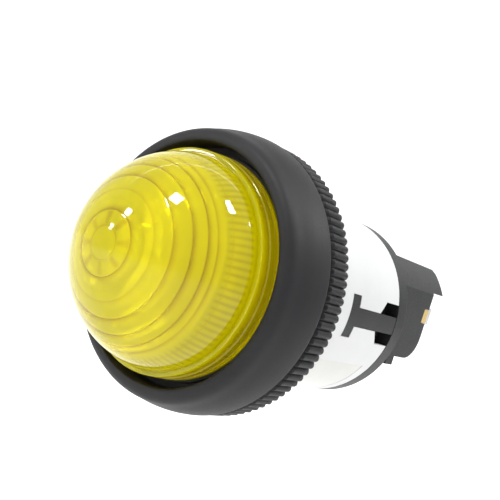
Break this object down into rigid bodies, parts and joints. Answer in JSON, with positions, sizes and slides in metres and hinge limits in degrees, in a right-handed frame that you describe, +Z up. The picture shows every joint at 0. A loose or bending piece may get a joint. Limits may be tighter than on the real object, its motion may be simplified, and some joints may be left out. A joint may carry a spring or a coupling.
{
  "type": "panel pilot light",
  "caption": "Round pilot light for a 30.5 mm panel hole: screw-on yellow dome lens, threaded bezel with knurled nut, white body and snap-in screw terminal block.",
  "frame": {"origin": "on the lens axis, in the plane of the bezel's rear face, where the panel's front face lies", "axes": "-Y out of the panel through the lens, +Y to the terminals, +Z up, latch arms at +X and -X"},
  "size_m": [0.04, 0.0683, 0.04],
  "materials": {
    "yellow_lens": "clear yellow, polished",
    "rubber": "matt black rubber",
    "black_plastic": "fine matt moulding",
    "washer_plastic": "matt black",
    "white_plastic": "satin off-white moulding",
    "label_film": "satin film, bare",
    "block_plastic": "matt black moulding",
    "brass": "stamped brass",
    "plated_steel": "bright zinc plate",
    "plated_brass": "nickel plate",
    "insulator": "brown insulating board",
    "milky_plastic": "milky diffuser",
    "board": "white circuit board",
    "led": "yellow LED chips"
  },
  "bodies": {
    "housing": {"bezel": "black_plastic", "panel_gasket": "rubber", "body_shell": "white_plastic", "rating_label": "label_film", "terminal_block": "block_plastic", "term_plate_r": "brass", "term_plate_l": "brass", "lamp_carrier": "white_plastic", "lamp_socket": "plated_brass", "socket_insulator": "insulator", "contact_spring": "plated_steel", "shell_strip": "brass", "centre_strip": "brass"},
    "lens_ring": {"lens_gasket": "rubber"},
    "lens_dome": {"lens": "yellow_lens"},
    "nut_washer": {"thrust_washer": "washer_plastic"},
    "nut": {"mount_nut": "black_plastic"},
    "clamp_r": {"term_clamp_r": "plated_steel"},
    "screw_r": {"term_screw_r": "plated_steel"},
    "clamp_l": {"term_clamp_l": "plated_steel"},
    "screw_l": {"term_screw_l": "plated_steel"},
    "plunger": {"centre_contact": "brass"},
    "lamp": {"lamp_base": "plated_brass", "lamp_insulator": "insulator", "lamp_tip": "plated_steel", "lamp_envelope": "milky_plastic", "lamp_board": "board", "lamp_chips": "led"}
  },
  "joints": [
    {"name": "lens_travel", "type": "slide", "parent": "housing", "child": "lens_ring", "axis": [0, -1, 0], "range_m": [0, 0.006]},
    {"name": "lens_unscrew", "type": "hinge", "parent": "lens_ring", "child": "lens_dome", "pos_m": [0, 0, 0], "axis": [0, -1, 0], "range_deg": [0, 1439]},
    {"name": "nut_travel", "type": "slide", "parent": "housing", "child": "nut_washer", "axis": [0, 1, 0], "range_m": [0, 0.006]},
    {"name": "nut_turn", "type": "hinge", "parent": "nut_washer", "child": "nut", "pos_m": [0, 0, 0], "axis": [0, 1, 0], "range_deg": [0, 1439]},
    {"name": "clamp_r_travel", "type": "slide", "parent": "housing", "child": "clamp_r", "axis": [0, 1, 0], "range_m": [0, 0.0022]},
    {"name": "screw_r_turn", "type": "hinge", "parent": "clamp_r", "child": "screw_r", "pos_m": [0.0073, 0, 0.0026], "axis": [0, 1, 0], "range_deg": [0, 1320.2]},
    {"name": "clamp_l_travel", "type": "slide", "parent": "housing", "child": "clamp_l", "axis": [0, 1, 0], "range_m": [0, 0.0022]},
    {"name": "screw_l_turn", "type": "hinge", "parent": "clamp_l", "child": "screw_l", "pos_m": [-0.0073, 0, 0.0026], "axis": [0, 1, 0], "range_deg": [0, 1320.2]},
    {"name": "plunger_push", "type": "slide", "parent": "housing", "child": "plunger", "axis": [0, 1, 0], "range_m": [0, 0.001], "stiffness_N_per_m": 300, "springref_m": -0.001, "deforming": ["contact_spring"]},
    {"name": "lamp_twist", "type": "hinge", "parent": "plunger", "child": "lamp", "pos_m": [0, 0, 0], "axis": [0, -1, 0], "range_deg": [0, 38]}
  ],
  "couplings": [
    {"joint": "lens_travel", "follows": "lens_unscrew", "m_per_rad": 0.00023873},
    {"joint": "nut_travel", "follows": "nut_turn", "m_per_rad": 0.00023873},
    {"joint": "screw_r_turn", "follows": "clamp_r_travel", "rad_per_m": 10472},
    {"joint": "screw_l_turn", "follows": "clamp_l_travel", "rad_per_m": 10472}
  ]
}
